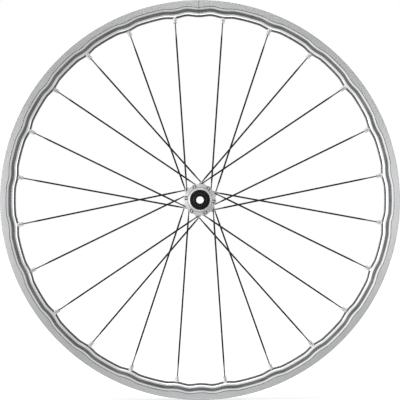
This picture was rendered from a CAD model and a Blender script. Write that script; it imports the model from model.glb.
import math

import bmesh
import bpy
from mathutils import Matrix, Vector


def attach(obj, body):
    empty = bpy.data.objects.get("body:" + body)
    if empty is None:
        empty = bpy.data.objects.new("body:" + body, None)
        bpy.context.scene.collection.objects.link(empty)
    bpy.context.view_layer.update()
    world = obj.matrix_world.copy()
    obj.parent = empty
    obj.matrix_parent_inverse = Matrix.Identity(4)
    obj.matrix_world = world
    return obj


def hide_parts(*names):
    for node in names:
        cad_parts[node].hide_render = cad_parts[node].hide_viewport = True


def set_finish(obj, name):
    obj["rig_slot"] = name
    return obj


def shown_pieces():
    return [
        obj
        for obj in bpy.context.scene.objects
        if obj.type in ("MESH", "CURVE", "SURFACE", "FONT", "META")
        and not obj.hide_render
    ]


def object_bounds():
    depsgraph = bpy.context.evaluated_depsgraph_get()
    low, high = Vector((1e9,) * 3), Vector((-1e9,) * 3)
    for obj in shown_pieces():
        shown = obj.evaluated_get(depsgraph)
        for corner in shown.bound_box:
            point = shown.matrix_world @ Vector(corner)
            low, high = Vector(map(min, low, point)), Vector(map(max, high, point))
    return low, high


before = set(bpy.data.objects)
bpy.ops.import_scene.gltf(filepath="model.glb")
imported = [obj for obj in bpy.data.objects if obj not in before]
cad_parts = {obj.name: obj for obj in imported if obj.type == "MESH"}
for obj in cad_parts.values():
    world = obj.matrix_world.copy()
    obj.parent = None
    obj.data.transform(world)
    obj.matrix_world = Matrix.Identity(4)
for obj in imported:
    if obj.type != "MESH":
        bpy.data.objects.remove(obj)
cad_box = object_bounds()

# The wheel's axle lies along Y, and its brake side faces -Y. Angles in the wheel's
# plane run from +X towards +Z. Blender's lengths are metres.
MM = 0.001

# ---- Driving sizes, in millimetres and degrees, as in the part's source ----

# Rim
LAND_R = 291.0          # the inner edge at a spoke
FLOOR_R = 294.8         # the floor of the chamber, which the nipples bear on
SCALLOP = 2.1           # how much deeper the rim is milled between spokes
JOINT_ANGLE = 90.0
VALVE_ANGLE = 270.0
VALVE_R = 3.25

# Spokes and nipples. Near is the brake side, far the plain side.
SPOKES = 24
PITCH = 360 / SPOKES
FIRST_SPOKE = 82.5
STAGGER = 1.5           # how far the spoke holes sit to either side of the rim's middle
NEAR_D = 19.7           # from the axle's centre line to a spoke
FAR_D = 16.6
NEAR_CROSS = 41.0       # from a spoke's nearest point to its crossing, round the axle
FAR_CROSS = 41.7
SEAT_BACK = 3.2         # from the crossing to the seat of the spoke's head
NEAR_HUB_Y = (-26.2, -22.8)
FAR_HUB_Y = (34.4, 31.0)
SPOKE_R = 1.05
BLADE_W = 2.7
BLADE_T = 0.95
HEAD_R = 1.95
HEAD_LEN = 1.8
NIPPLE_R = 3.3
NIPPLE_HEAD_R = 4.1

# Hub
ROTOR_SEAT_Y = -39.5
BOLTS = 6
BOLT_R = 22.0
BOLT_ANGLE = 52.5
BOLT_HOLE_R = 2.1
BOLT_HOLE_END_Y = -30.5
PILOT_STEP_R = 19.3     # the outside of the groove round the rotor pilot

# ---- Looks and camera ----

HUB_DOME = 0.42         # slope that the hub's flat faces are shaded with, by a bump
GROOVE_HALF = 0.05      # the groove at the rim's joint: half its angle at the top,
GROOVE_FLOOR = 0.018    # half its angle at the bottom,
GROOVE_DEPTH = 0.12     # and its depth

CAMERA_DISTANCE = 4.0   # metres from the axle's middle
CAMERA_DROP = 0.45      # degrees below level
CAMERA_ROLL = 0.33
CAMERA_MARGIN = 1.0005  # half the view over the wheel's radius, at the rim's face
RIM_FACE = 11.8         # how far the rim's widest edge is in front of its middle
FLOOR_GAP = 0.2


def near(k):
    """Whether spoke k goes to the brake side of the hub."""
    return k % 2 == 1


def lean(k):
    """Which way round the axle spoke k passes, 1 or -1."""
    return 1 if k % 4 in (0, 3) else -1


def spoke_frame(k):
    """The matrix of spoke k's own axes, in millimetres, and its length."""
    d = NEAR_D if near(k) else FAR_D
    theta = FIRST_SPOKE + k * PITCH
    phi = lean(k) * math.degrees(math.asin(d / FLOOR_R))
    rim_y = -STAGGER if near(k) else STAGGER
    outer_y, inner_y = NEAR_HUB_Y if near(k) else FAR_HUB_Y
    hub_y = outer_y if lean(k) < 0 else inner_y
    cross = NEAR_CROSS if near(k) else FAR_CROSS
    seat_run = d * math.tan(math.radians(cross)) - SEAT_BACK
    flat_run = math.sqrt(FLOOR_R ** 2 - d ** 2) - seat_run
    tilt = math.atan2(hub_y - rim_y, flat_run)
    place = Matrix.Translation((FLOOR_R * math.cos(math.radians(theta)), rim_y,
                                FLOOR_R * math.sin(math.radians(theta))))
    turn = Matrix.Rotation(math.radians(-(theta + phi) - 90), 4, "Y")
    lay = Matrix.Rotation(-tilt, 4, "X")
    return place @ turn @ lay, flat_run / math.cos(tilt)


# ---- Mesh helpers ----

def make_object(name, verts, faces, sharp=32):
    """A smooth-shaded object from points in millimetres."""
    mesh = bpy.data.meshes.new(name)
    mesh.from_pydata([Vector(v) * MM for v in verts], [], faces)
    bm = bmesh.new()
    bm.from_mesh(mesh)
    bmesh.ops.recalc_face_normals(bm, faces=bm.faces)
    bm.to_mesh(mesh)
    bm.free()
    obj = bpy.data.objects.new(name, mesh)
    bpy.context.scene.collection.objects.link(obj)
    shade(mesh, sharp)
    return obj


def shade(mesh, sharp):
    """Smooth shading, with an edge kept sharp where it turns by more than this angle."""
    mesh.polygons.foreach_set("use_smooth", [True] * len(mesh.polygons))
    mesh.set_sharp_from_angle(angle=math.radians(sharp))


def fillet(points, reach, steps=3):
    """The open line of points with each corner between its ends rounded off."""
    line = [Vector(p) for p in points]
    out = [line[0]]
    for a, b, c in zip(line, line[1:], line[2:]):
        back = min(reach, 0.46 * (a - b).length)
        ahead = min(reach, 0.46 * (c - b).length)
        p = b + (a - b).normalized() * back
        q = b + (c - b).normalized() * ahead
        for i in range(steps + 1):
            t = i / steps
            out.append(p * (1 - t) ** 2 + b * 2 * t * (1 - t) + q * t ** 2)
    out.append(line[-1])
    return out


def mirrored(half):
    """A closed outline from its half, which starts and ends on the axis y = 0."""
    return half + [Vector((p.x, -p.y)) for p in reversed(half[1:-1])]


def ring_faces(rows, columns, close_rows):
    """Quads between neighbouring rows of points; each row is a closed loop."""
    faces = []
    last = rows if close_rows else rows - 1
    for i in range(last):
        for j in range(columns):
            here, ahead = i * columns, ((i + 1) % rows) * columns
            step = (j + 1) % columns
            faces.append((here + j, here + step, ahead + step, ahead + j))
    return faces


def lathe(profile, segments=48):
    """Points and faces of the closed outline (radius, z) turned about +Z."""
    verts, n = [], len(profile)
    for i in range(segments):
        a = 2 * math.pi * i / segments
        verts += [(r * math.cos(a), r * math.sin(a), z) for r, z in profile]
    return verts, ring_faces(segments, n, True)


def joined(parts):
    """One list of points and faces out of several."""
    verts, faces = [], []
    for v, f in parts:
        base = len(verts)
        verts += v
        faces += [tuple(i + base for i in face) for face in f]
    return verts, faces


def placed(matrix, part):
    """The part's points moved by the matrix, and its faces."""
    verts, faces = part
    return [tuple(matrix @ Vector(v)) for v in verts], faces


# ---- Rim ----

def smooth_step(t):
    t = min(1.0, max(0.0, t))
    return t * t * (3 - 2 * t)


# The rim is left at full depth at each land. The milling starts and ends this many
# degrees from a land's middle.
LAND_FLAT = 0.3
LAND_END = 3.7
LANDS = sorted([(FIRST_SPOKE + k * PITCH) % 360 for k in range(SPOKES)]
               + [JOINT_ANGLE, VALVE_ANGLE])


def milling(angle):
    """How far the inner edge is milled back at this angle, in millimetres."""
    gap = min(abs((angle - a + 180) % 360 - 180) for a in LANDS)
    return SCALLOP * smooth_step((gap - LAND_FLAT) / (LAND_END - LAND_FLAT))


# Half of the rim's section, from its inner edge round to the middle of the well, and
# half of its chamber's. SPOKE_SIDE is (height above the inner edge, y); the others
# are (radius, y).
SPOKE_SIDE = [(0, 0), (0, 3.4), (0.3, 4.1), (2.8, 8.4), (5.8, 9.9), (11.3, 11.1),
              (14.7, 12.5)]
FLANGE = [(316.8, 12.5), (317.0, 12.25), (317.0, 10.8), (316.2, 10.2), (313.8, 10.2),
          (313.0, 10.5), (311.0, 10.4)]
BED = [(311.0, 7.6), (309.6, 5.6), (306.6, 4.2), (306.6, 0)]
CHAMBER = [(294.8, 0), (294.8, 4.6), (296.9, 7.4), (300.2, 9.2), (304.7, 10.4),
           (309.4, 10.2), (309.4, 7.4), (308.2, 5.9), (305.2, 4.4), (305.2, 0)]
SECTION_FILLET = 1.1
MILLED_TO = 16.5        # the milling moves points up to this height above the inner edge
WELL_FROM = 10.0        # above this height, points within WELL_HALF_W are the well's
WELL_HALF_W = 7.0

# Degrees between the rim's cross-sections, and the fewest that there may be
STATION_STEP = 0.75
STATION_GAP = 0.12


def rim_stations():
    """Angles of the rim's cross-sections, closer together where the edge curves."""
    angles = set()
    for a in LANDS:
        for i in range(9):
            off = LAND_FLAT + (LAND_END - LAND_FLAT) * i / 8
            angles |= {round((a + off) % 360, 4), round((a - off) % 360, 4)}
        angles.add(round(a, 4))
    for i in range(round(360 / STATION_STEP)):
        angles.add(round(i * STATION_STEP, 4))
    ordered = sorted(angles)
    kept = [ordered[0]]
    for a in ordered[1:]:
        if a - kept[-1] > STATION_GAP:
            kept.append(a)
    groove = [JOINT_ANGLE + a for a in (-GROOVE_HALF, -GROOVE_FLOOR, GROOVE_FLOOR, GROOVE_HALF)]
    return sorted([a for a in kept if abs(a - JOINT_ANGLE) > 2 * GROOVE_HALF] + groove)


def make_rim():
    """Points and faces of the rim's outside, and of the chamber inside it."""
    half = fillet([(LAND_R + r, y) for r, y in SPOKE_SIDE] + FLANGE, SECTION_FILLET)
    half += [Vector(p) for p in BED]
    skin = mirrored(half)
    n = len(skin)
    normals = []
    for i in range(n):
        along = skin[(i + 1) % n] - skin[i - 1]
        normals.append(Vector((-along.y, along.x)).normalized())
    in_well = [p.x > LAND_R + WELL_FROM and abs(p.y) < WELL_HALF_W for p in skin]
    moving = [p.x < LAND_R + MILLED_TO and not well for p, well in zip(skin, in_well)]
    verts = []
    angles = rim_stations()
    for angle in angles:
        shift = milling(angle)
        sink = GROOVE_DEPTH if abs(angle - JOINT_ANGLE) < GROOVE_HALF - 0.01 else 0.0
        c, s = math.cos(math.radians(angle)), math.sin(math.radians(angle))
        for p, nrm, moves in zip(skin, normals, moving):
            q = p - nrm * sink
            r = q.x + (shift if moves else 0.0)
            verts.append((r * c, q.y, r * s))
    outer = verts, ring_faces(len(angles), n, True)
    hollow = mirrored([Vector(p) for p in CHAMBER])
    verts = []
    for i in range(360):
        c, s = math.cos(math.radians(i)), math.sin(math.radians(i))
        verts += [(p.x * c, p.y, p.x * s) for p in hollow]
    inner = verts, [tuple(reversed(f)) for f in ring_faces(360, len(hollow), True)]
    return outer, inner


def cut_away(obj, cutter):
    """Take the cutter's solid out of the object's, and delete the cutter."""
    mod = obj.modifiers.new("cut", "BOOLEAN")
    mod.operation = "DIFFERENCE"
    mod.object = cutter
    mod.solver = "MANIFOLD"
    bpy.context.view_layer.update()
    evaluated = obj.evaluated_get(bpy.context.evaluated_depsgraph_get())
    mesh = bpy.data.meshes.new_from_object(evaluated)
    obj.modifiers.clear()
    old = obj.data
    obj.data = mesh
    bpy.data.meshes.remove(old)
    bpy.data.objects.remove(cutter)


outer, inner = make_rim()
rim = make_object("rim_body", *outer)
chamber = make_object("rim_chamber", *inner)
cut_away(rim, chamber)
# Each spoke hole is narrow below the nipple's head and widens to the access hole above.
hole_profile = [(0.01, 8), (3.4, 8), (3.4, 0), (4.25, 0), (4.25, -5.5), (4.4, -5.5),
                (4.4, -22), (0.01, -22)]
holes = [placed(spoke_frame(k)[0], lathe(hole_profile, 32)) for k in range(SPOKES)]
valve_turn = Matrix.Rotation(math.radians(90 - VALVE_ANGLE), 4, "Y")
valve_from, valve_to = LAND_R - 3, LAND_R + 21
holes.append(placed(valve_turn, lathe(
    [(0.01, valve_from), (VALVE_R, valve_from), (VALVE_R, valve_to), (0.01, valve_to)], 48)))
cutter = make_object("rim_holes", *joined(holes))
cut_away(rim, cutter)
shade(rim.data, 34)
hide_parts("rim")
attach(rim, "wheel")
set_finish(rim, "rim_alloy")

# ---- Spokes ----

SPOKE_POINTS = 24


def oval(half_x, half_y, power):
    """A superellipse outline in the spoke's cross-section."""
    out = []
    for i in range(SPOKE_POINTS):
        a = 2 * math.pi * i / SPOKE_POINTS
        c, s = math.cos(a), math.sin(a)
        out.append((half_x * math.copysign(abs(c) ** (2 / power), c),
                    half_y * math.copysign(abs(s) ** (2 / power), s)))
    return out


def loft(stations):
    """Points and faces of a solid through (z, outline) stations, closed at its ends."""
    verts, n = [], len(stations[0][1])
    for z, outline in stations:
        verts += [(x, y, z) for x, y in outline]
    faces = ring_faces(len(stations), n, False)
    faces.append(tuple(reversed(range(n))))
    faces.append(tuple(range(len(verts) - n, len(verts))))
    return verts, faces


def blade_blend(t):
    """The spoke's outline from round, at t = 0, to bladed, at t = 1."""
    return oval(SPOKE_R + (BLADE_W / 2 - SPOKE_R) * t, SPOKE_R + (BLADE_T / 2 - SPOKE_R) * t,
                2 + 3 * t)


# A spoke is round up to ROUND_TO, flat from BLADE_FROM up to BLADE_BACK before its
# head, and round again for the last ROUND_BACK. It changes shape in between.
ROUND_TO = 24.0
BLADE_FROM = 38.0
BLADE_BACK = 24.0
ROUND_BACK = 13.0


def spoke_stations(length):
    """The spoke's outlines and how far each is from the floor of the rim's chamber."""
    blade_to = length - BLADE_BACK
    top = length + HEAD_LEN
    stations = [(-1.0, blade_blend(0)), (ROUND_TO, blade_blend(0))]
    for i in range(13):
        z = ROUND_TO + 1 + (BLADE_FROM - ROUND_TO - 1) * i / 12
        stations.append((z, blade_blend(smooth_step(i / 12))))
    for i in range(1, 10):
        z = BLADE_FROM + (blade_to - BLADE_FROM) * i / 10
        stations.append((z, blade_blend(1)))
    for i in range(13):
        z = blade_to + (BLADE_BACK - ROUND_BACK - 1) * i / 12
        stations.append((z, blade_blend(smooth_step(1 - i / 12))))
    stations += [(length - ROUND_BACK, blade_blend(0)), (length - 0.9, blade_blend(0))]
    head = [(length - 0.35, 1.12), (length, 1.5), (length + 0.12, HEAD_R), (top - 0.7, HEAD_R),
            (top - 0.25, HEAD_R * 0.86), (top, HEAD_R * 0.55)]
    return stations + [(z, oval(r, r, 2)) for z, r in head]


for k in range(SPOKES):
    matrix, length = spoke_frame(k)
    spoke = make_object(f"blade_spoke_{k + 1:02d}", *loft(spoke_stations(length)), sharp=50)
    spoke.matrix_world = Matrix.Diagonal((MM, MM, MM, 1)) @ matrix @ Matrix.Diagonal(
        (1 / MM, 1 / MM, 1 / MM, 1))
    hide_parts(f"spoke_{k + 1:02d}")
    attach(spoke, "wheel")
    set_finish(spoke, "spoke_steel")

# ---- Nipples ----

NIPPLE_POINTS = 40


def square_outline(half_flat, reach):
    """A square with its corners cut by a circle."""
    out = []
    for i in range(NIPPLE_POINTS):
        a = 2 * math.pi * (i + 0.5) / NIPPLE_POINTS
        c, s = math.cos(a), math.sin(a)
        r = min(reach, half_flat / max(abs(c), abs(s)))
        out.append((r * c, r * s))
    return out


def nipple_part():
    """A nipple about its spoke's axis, from its head in the rim to its chamfered end.

    Each section is (distance from the chamber's floor, half the width over its flats,
    radius of its corners).
    """
    bore = SPOKE_R + 0.04
    flat = NIPPLE_R - 0.25
    head = NIPPLE_HEAD_R
    neck = NIPPLE_R - 0.22
    sections = [(-2.1, 2.0, 2.0), (-2.5, 2.4, 2.4), (-2.1, head - 0.5, head - 0.5),
                (-1.4, head - 0.05, head - 0.05), (-0.2, head, head),
                (0.0, head - 0.1, head - 0.1), (0.02, NIPPLE_R, NIPPLE_R),
                (5.2, NIPPLE_R, NIPPLE_R), (5.32, neck, neck), (5.62, neck, neck),
                (5.74, flat, NIPPLE_R), (10.5, flat, NIPPLE_R), (10.95, flat - 0.1, NIPPLE_R - 0.3),
                (11.3, flat - 0.7, NIPPLE_R - 0.85), (11.4, flat - 1.1, NIPPLE_R - 1.3),
                (11.4, 1.6, 1.6), (11.0, bore, bore), (-1.8, bore, bore)]
    verts = []
    for z, half_flat, reach in sections:
        verts += [(x, y, z) for x, y in square_outline(half_flat, reach)]
    return verts, ring_faces(len(sections), NIPPLE_POINTS, True)


for name, first in (("nipples_left", 1), ("nipples_right", 0)):
    parts = [placed(spoke_frame(k)[0], nipple_part()) for k in range(first, SPOKES, 2)]
    nipples = make_object(f"turned_{name}", *joined(parts), sharp=28)
    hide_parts(name)
    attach(nipples, "wheel")
    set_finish(nipples, "nipple_alloy")

# ---- Materials ----


class Shader:
    """A node tree of a material or the world, built one node at a time."""

    def __init__(self, owner, output):
        owner.use_nodes = True
        self.owner = owner
        self.tree = owner.node_tree
        self.tree.nodes.clear()
        self.out = self.node(output)

    @classmethod
    def material(cls, name):
        return cls(bpy.data.materials.new(name), "ShaderNodeOutputMaterial")

    def node(self, kind, inputs=None, **props):
        """A new node; an input is a value, or another node's output to link."""
        n = self.tree.nodes.new(kind)
        for key, value in props.items():
            setattr(n, key, value)
        for key, value in (inputs or {}).items():
            if isinstance(value, bpy.types.NodeSocket):
                self.tree.links.new(value, n.inputs[key])
            else:
                n.inputs[key].default_value = value
        return n

    def math(self, operation, a, b=0.0, c=0.0):
        return self.node("ShaderNodeMath", {0: a, 1: b, 2: c}, operation=operation).outputs[0]

    def noise(self, vector, scale, detail=3.0, rough=0.55):
        return self.node("ShaderNodeTexNoise", {
            "Vector": vector, "Scale": scale, "Detail": detail, "Roughness": rough
        }).outputs["Fac"]

    def span(self, value, low, high, start=0.3, end=0.7):
        """The value from start to end, turned into low to high and kept within them."""
        return self.node("ShaderNodeMapRange", {
            "Value": value, "From Min": start, "From Max": end, "To Min": low, "To Max": high
        }).outputs["Result"]

    def below(self, length, start, end):
        """1 where a length is under start, fading to 0 at end; both in millimetres."""
        return self.span(length, 1.0, 0.0, start * MM, end * MM)

    def mix(self, amount, first, second, blend="MIX"):
        """A blend of two colours, each a tuple or the output of a node."""
        n = self.node("ShaderNodeMix", data_type="RGBA", blend_type=blend)
        sockets = [s for s in n.inputs if s.enabled]
        for socket, value in zip(sockets, (amount, first, second)):
            if isinstance(value, tuple):
                socket.default_value = (*value, 1)
            else:
                self.tree.links.new(value, socket)
        return [s for s in n.outputs if s.enabled][0]

    def object_place(self):
        return self.node("ShaderNodeTexCoord").outputs["Object"]

    def ring_place(self):
        """Distance from the axle and along it: marks made from this run round the wheel."""
        place = self.node("ShaderNodeSeparateXYZ", {"Vector": self.object_place()})
        x2 = self.math("MULTIPLY", place.outputs["X"], place.outputs["X"])
        z2 = self.math("MULTIPLY_ADD", place.outputs["Z"], place.outputs["Z"], x2)
        return self.node("ShaderNodeCombineXYZ", {
            "X": self.math("SQRT", z2), "Y": place.outputs["Y"]}).outputs["Vector"]

    def stretched(self, factors):
        return self.node("ShaderNodeVectorMath", {
            0: self.object_place(), 1: factors}, operation="MULTIPLY").outputs["Vector"]

    def soft_edges(self, radius):
        """A normal that rounds edges off by this many millimetres."""
        return self.node("ShaderNodeBevel", {"Radius": radius * MM}, samples=6).outputs["Normal"]

    def bump(self, height, depth, normal=None):
        """A normal from a height of 0 to 1, which stands for a depth in metres."""
        inputs = {"Height": height, "Strength": 1.0, "Distance": depth}
        if normal is not None:
            inputs["Normal"] = normal
        return self.node("ShaderNodeBump", inputs).outputs["Normal"]

    def finish(self, kind, inputs):
        """Make the tree's last shader, and give back the material or world."""
        last = self.node(kind, inputs)
        self.tree.links.new(last.outputs[0], self.out.inputs["Surface"])
        return self.owner


def metal(name, dark, light, rough, marks, mark_scale, depth, edge=0.0, brushed=None):
    """A metal whose fine marks follow marks, with slow cloudy changes of tone.

    Depth and edge are in millimetres. A metal brushed round the axle gives how strongly.
    """
    s = Shader.material(name)
    lines = s.noise(marks(s), mark_scale, 4.0, 0.6)
    clouds = s.noise(s.object_place(), 38.0, 3.0, 0.5)
    tone = s.math("ADD", s.math("MULTIPLY", lines, 0.55), s.math("MULTIPLY", clouds, 0.45))
    wear = s.math("ADD", s.math("MULTIPLY", lines, 0.5), s.math("MULTIPLY", clouds, 0.5))
    soft = s.soft_edges(edge) if edge else None
    inputs = {"Base Color": s.mix(s.span(tone, 0.0, 1.0, 0.35, 0.65), dark, light),
              "Metallic": 1.0, "Roughness": s.span(wear, *rough, 0.35, 0.65),
              "Normal": s.bump(lines, depth * MM, soft)}
    if brushed:
        inputs["Anisotropic"] = brushed
        inputs["Anisotropic Rotation"] = 0.25
        inputs["Tangent"] = s.node("ShaderNodeTangent", direction_type="RADIAL",
                                   axis="Y").outputs["Tangent"]
    return s.finish("ShaderNodeBsdfPrincipled", inputs)


def turned_hub(name, dark, light, rough):
    """Turned alloy, with flat faces shaded as if domed and marks at the bolt holes' mouths."""
    s = Shader.material(name)
    place = s.node("ShaderNodeSeparateXYZ", {"Vector": s.object_place()})
    x, y, z = (place.outputs[a] for a in "XYZ")
    radius = s.math("SQRT", s.math("MULTIPLY_ADD", x, x, s.math("MULTIPLY", z, z)))
    lines = s.noise(s.ring_place(), 1500.0, 3.0, 0.6)
    clouds = s.noise(s.object_place(), 90.0, 2.0, 0.5)
    tone = s.math("ADD", s.math("MULTIPLY", lines, 0.5), s.math("MULTIPLY", clouds, 0.5))
    colour = s.mix(s.span(tone, 0.0, 1.0, 0.35, 0.65), dark, light)

    # How far a point is from the axis of the nearest bolt hole: outward, aside, and in all
    sector = 2 * math.pi / BOLTS
    first = math.radians(BOLT_ANGLE) - sector / 2 - 2 * math.pi
    turned = s.math("SUBTRACT", s.math("ARCTAN2", z, x), first)
    local = s.math("SUBTRACT", s.math("MODULO", turned, sector), sector / 2)
    out = s.math("SUBTRACT", s.math("MULTIPLY", radius, s.math("COSINE", local)), BOLT_R * MM)
    aside = s.math("ABSOLUTE", s.math("MULTIPLY", radius, s.math("SINE", local)))
    reach = s.math("SQRT", s.math("MULTIPLY_ADD", out, out, s.math("MULTIPLY", aside, aside)))

    # Where the marks go: each of these is 1 at its place and 0 away from it
    face = s.below(y, ROTOR_SEAT_Y + 0.7, ROTOR_SEAT_Y + 1.5)
    pilot = s.math("MULTIPLY", face, s.below(radius, PILOT_STEP_R - 0.5, PILOT_STEP_R + 0.1))
    in_hole = s.math("MULTIPLY", s.below(reach, BOLT_HOLE_R + 0.03, BOLT_HOLE_R + 0.1),
                     s.below(y, BOLT_HOLE_END_Y + 0.3, BOLT_HOLE_END_Y + 0.5))
    mouth = s.math("MULTIPLY", s.below(reach, BOLT_HOLE_R + 0.7, BOLT_HOLE_R + 1.3),
                   s.span(aside, 0.1, 1.0, 0.8 * MM, 1.8 * MM))
    from_step = s.math("ABSOLUTE", s.math("SUBTRACT", radius, PILOT_STEP_R * MM))
    step = s.math("MULTIPLY", s.below(from_step, 0.2, 0.5), 0.3)

    bright = s.math("MAXIMUM", in_hole, s.math("MULTIPLY", pilot, 0.6))
    colour = s.mix(bright, colour, (0.93, 0.93, 0.94))
    shaded = s.math("MULTIPLY", face, s.math("MAXIMUM", mouth, step))
    colour = s.mix(shaded, colour, (0.04, 0.04, 0.04), "MULTIPLY")
    roughness = s.math("MULTIPLY", s.span(tone, *rough, 0.35, 0.65),
                       s.math("MULTIPLY_ADD", in_hole, -0.7, 1.0))
    domed = s.bump(s.math("MULTIPLY", radius, -1.0), HUB_DOME, s.soft_edges(0.35))
    return s.finish("ShaderNodeBsdfPrincipled", {
        "Base Color": colour, "Metallic": 1.0, "Roughness": roughness,
        "Normal": s.bump(lines, 0.006 * MM, domed)})


def coated(name, dark, light, rough, grain, depth, edge=0.0, specular=0.5):
    """Rubber, tape or black anodising: a fine all-over grain. Depth and edge are in mm."""
    s = Shader.material(name)
    place = s.object_place()
    fine = s.noise(place, grain, 3.0, 0.6)
    clouds = s.noise(place, 60.0, 2.0, 0.5)
    tone = s.math("ADD", s.math("MULTIPLY", fine, 0.5), s.math("MULTIPLY", clouds, 0.5))
    soft = s.soft_edges(edge) if edge else None
    return s.finish("ShaderNodeBsdfPrincipled", {
        "Base Color": s.mix(s.span(tone, 0.0, 1.0, 0.35, 0.65), dark, light),
        "Roughness": s.span(clouds, *rough), "Specular IOR Level": specular,
        "Normal": s.bump(fine, depth * MM, soft)})


LOOKS = {
    "rim_alloy": metal("rim_polished", (0.80, 0.81, 0.82), (0.90, 0.90, 0.91), (0.16, 0.24),
                       Shader.ring_place, 2600.0, 0.012),
    "spoke_steel": metal("spoke_satin_steel", (0.13, 0.131, 0.133), (0.17, 0.171, 0.173),
                         (0.12, 0.18), lambda s: s.stretched((1.0, 1.0, 0.02)), 2500.0, 0.01),
    "nipple_alloy": metal("nipple_alloy", (0.72, 0.725, 0.73), (0.82, 0.82, 0.825), (0.46, 0.54),
                          Shader.object_place, 900.0, 0.01),
    "hub_alloy": turned_hub("hub_satin", (0.57, 0.57, 0.575), (0.64, 0.64, 0.645), (0.32, 0.40)),
    "axle_alloy": metal("axle_turned", (0.62, 0.62, 0.63), (0.74, 0.74, 0.75), (0.24, 0.36),
                        Shader.ring_place, 2400.0, 0.01, edge=0.2),
    "sleeve_alloy": metal("sleeve_mill_finish", (0.55, 0.55, 0.56), (0.66, 0.66, 0.67),
                          (0.35, 0.5), Shader.ring_place, 1500.0, 0.02),
    "bearing_steel": metal("bearing_ground_steel", (0.58, 0.58, 0.59), (0.70, 0.70, 0.71),
                           (0.12, 0.2), Shader.ring_place, 3500.0, 0.005, edge=0.2),
    "cage_steel": metal("cage_pressed_steel", (0.50, 0.47, 0.42), (0.62, 0.58, 0.52),
                        (0.25, 0.35), Shader.object_place, 700.0, 0.01),
    "cap_black": coated("cap_black_anodised", (0.002, 0.002, 0.0022), (0.006, 0.006, 0.0065),
                        (0.34, 0.46), 2600.0, 0.005, edge=0.3, specular=0.26),
    "rubber": coated("seal_rubber", (0.012, 0.012, 0.012), (0.030, 0.030, 0.030),
                     (0.55, 0.7), 1500.0, 0.02),
    "tape": coated("rim_tape", (0.30, 0.33, 0.36), (0.42, 0.45, 0.48), (0.4, 0.55), 900.0, 0.02),
}
rim_wall_look = metal("rim_sidewall", (0.90, 0.91, 0.92), (0.96, 0.96, 0.97), (0.60, 0.68),
                      Shader.ring_place, 3200.0, 0.004, brushed=0.85)
joint_look = coated("rim_joint_gap", (0.010, 0.010, 0.010), (0.020, 0.020, 0.020),
                    (0.6, 0.7), 1500.0, 0.01)

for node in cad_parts.values():
    for used in node.material_slots:
        used.material = LOOKS[used.material.name.split(".")[0]]
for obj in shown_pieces():
    if "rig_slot" in obj:
        obj.data.materials.clear()
        obj.data.materials.append(LOOKS[obj["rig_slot"]])

# The rim's flat side walls are brushed, and the groove at its joint is dark
WALL_Y = 12.47
WALL_FROM_R = 304.5
WALL_TO_R = 316.8
rim.data.materials.append(rim_wall_look)
rim.data.materials.append(joint_look)
for face in rim.data.polygons:
    c = face.center / MM
    if abs(math.degrees(math.atan2(c.z, c.x)) - JOINT_ANGLE) < GROOVE_HALF:
        face.material_index = 2
    elif abs(c.y) > WALL_Y and WALL_FROM_R < math.hypot(c.x, c.z) < WALL_TO_R:
        face.material_index = 1

# ---- Studio ----


def world_light():
    """Soft studio light by its angle from straight in front of the wheel, in degrees.

    It is dark in front, behind, and in a ring behind the wheel's plane. Four brighter
    boxes stand round the side, and the left is brighter than the right.
    """
    world = bpy.data.worlds.new("studio")
    bpy.context.scene.world = world
    s = Shader(world, "ShaderNodeOutputWorld")
    way = s.node("ShaderNodeSeparateXYZ", {"Vector": s.node(
        "ShaderNodeTexCoord").outputs["Generated"]})
    x, y, z = (way.outputs[a] for a in "XYZ")
    turned = s.math("DIVIDE", s.math("ARCCOSINE", s.math("MULTIPLY", y, -1.0)), math.pi)
    ramp = s.node("ShaderNodeValToRGB", {"Fac": turned})
    stops = [(0, 0.10), (26, 0.10), (34, 1.0), (42, 1.05), (49, 0.74), (58, 1.0), (98, 0.95),
             (105, 0.06), (120, 0.05), (130, 0.8), (146, 0.9), (155, 0.14), (180, 0.14)]
    band = ramp.color_ramp
    band.interpolation = "EASE"
    for at, _ in stops[1:-1]:
        band.elements.new(at / 180)
    for stop, (_, level) in zip(band.elements, stops):
        stop.color = (level, level, level, 1)

    # The boxes stand on the level and upright lines through the axle
    across = s.math("ADD", s.math("MULTIPLY", x, x), s.math("MULTIPLY", z, z))
    twist = s.math("DIVIDE", s.math("MULTIPLY", s.math("MULTIPLY", x, z), 2.0),
                   s.math("MAXIMUM", across, 0.0001))
    straight = s.math("POWER", s.math("SUBTRACT", 1.0, s.math("MULTIPLY", twist, twist)), 1.5)
    boxes = s.math("MULTIPLY", s.span(turned, 0.0, 1.0, 52 / 180, 60 / 180),
                   s.span(turned, 1.0, 0.0, 80 / 180, 90 / 180))
    boxes = s.math("MULTIPLY", boxes, straight)
    level = s.math("MULTIPLY", ramp.outputs["Color"], s.math("MULTIPLY_ADD", boxes, 2.1, 0.92))

    leftward = s.math("MAXIMUM", s.math("MULTIPLY", x, -1.0), 0.0)
    level = s.math("MULTIPLY", level, s.math("MULTIPLY_ADD", leftward, 0.65, 0.76))
    level = s.math("MULTIPLY", level, s.math("MULTIPLY_ADD", z, 0.08, 1.0))

    # The camera itself sees plain white
    camera_ray = s.node("ShaderNodeLightPath").outputs["Is Camera Ray"]
    seen = s.node("ShaderNodeMix", {"Factor": camera_ray, "A": level, "B": 1.0},
                  data_type="FLOAT").outputs["Result"]
    s.finish("ShaderNodeBackground", {"Color": (1, 1, 1, 1), "Strength": seen})


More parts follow.
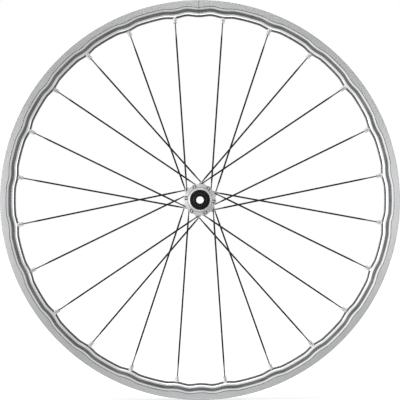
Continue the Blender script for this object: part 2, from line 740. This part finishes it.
def make_floor():
    """A round pale floor just under the wheel, which reflections and shadow rays pass."""
    floor_z = cad_box[0].z - FLOOR_GAP * MM
    radii = [0.5, 1.5, 4.0, 14.0]
    steps = 64
    verts, faces = [(0, 0, floor_z)], []
    for r in radii:
        for i in range(steps):
            a = 2 * math.pi * i / steps
            verts.append((r * math.cos(a), r * math.sin(a), floor_z))
    for i in range(steps):
        ahead = (i + 1) % steps
        faces.append((0, 1 + i, 1 + ahead))
        for ring in range(len(radii) - 1):
            a = 1 + ring * steps
            faces.append((a + i, a + steps + i, a + steps + ahead, a + ahead))
    mesh = bpy.data.meshes.new("floor")
    mesh.from_pydata(verts, [], faces)
    floor = bpy.data.objects.new("floor", mesh)
    bpy.context.scene.collection.objects.link(floor)
    s = Shader.material("floor_paper")
    grain = s.noise(s.object_place(), 40.0, 4.0)
    paper = s.node("ShaderNodeBsdfPrincipled", {
        "Base Color": s.mix(s.span(grain, 0.0, 1.0), (0.58, 0.58, 0.58), (0.62, 0.62, 0.62)),
        "Roughness": 0.9, "Specular IOR Level": 0.1,
        "Emission Color": (1, 1, 1, 1), "Emission Strength": 0.57})
    clear = s.node("ShaderNodeBsdfTransparent")
    path = s.node("ShaderNodeLightPath").outputs
    passing = s.math("MAXIMUM", path["Is Glossy Ray"], path["Is Shadow Ray"])
    mesh.materials.append(s.finish("ShaderNodeMixShader", {
        0: passing, 1: paper.outputs[0], 2: clear.outputs[0]}))


def key_light():
    """A large lamp at the upper left that lights the matt surfaces and shows in no mirror."""
    data = bpy.data.lights.new("key", "AREA")
    data.shape = "DISK"
    data.size = 1.4
    data.energy = 30
    lamp = bpy.data.objects.new("key", data)
    lamp.location = (-1.6, -2.4, 2.2)
    lamp.rotation_euler = (-lamp.location).to_track_quat("-Z", "Y").to_euler()
    lamp.visible_camera = False
    lamp.visible_glossy = False
    bpy.context.scene.collection.objects.link(lamp)


def make_camera():
    """A camera in front of the axle, in whose view the rim's near edge just fits."""
    data = bpy.data.cameras.new("camera")
    data.sensor_width = 36
    half_view = cad_box[1].x * CAMERA_MARGIN
    data.lens = data.sensor_width / 2 * (CAMERA_DISTANCE - RIM_FACE * MM) / half_view
    data.clip_start = 0.1
    data.clip_end = 60
    camera = bpy.data.objects.new("camera", data)
    camera.matrix_world = (
        Matrix.Rotation(math.radians(90 + CAMERA_DROP), 4, "X")
        @ Matrix.Translation((0, 0, CAMERA_DISTANCE))
        @ Matrix.Rotation(math.radians(-CAMERA_ROLL), 4, "Z"))
    bpy.context.scene.collection.objects.link(camera)
    bpy.context.scene.camera = camera


world_light()
make_floor()
key_light()
make_camera()
bpy.context.scene.view_settings.view_transform = "Standard"
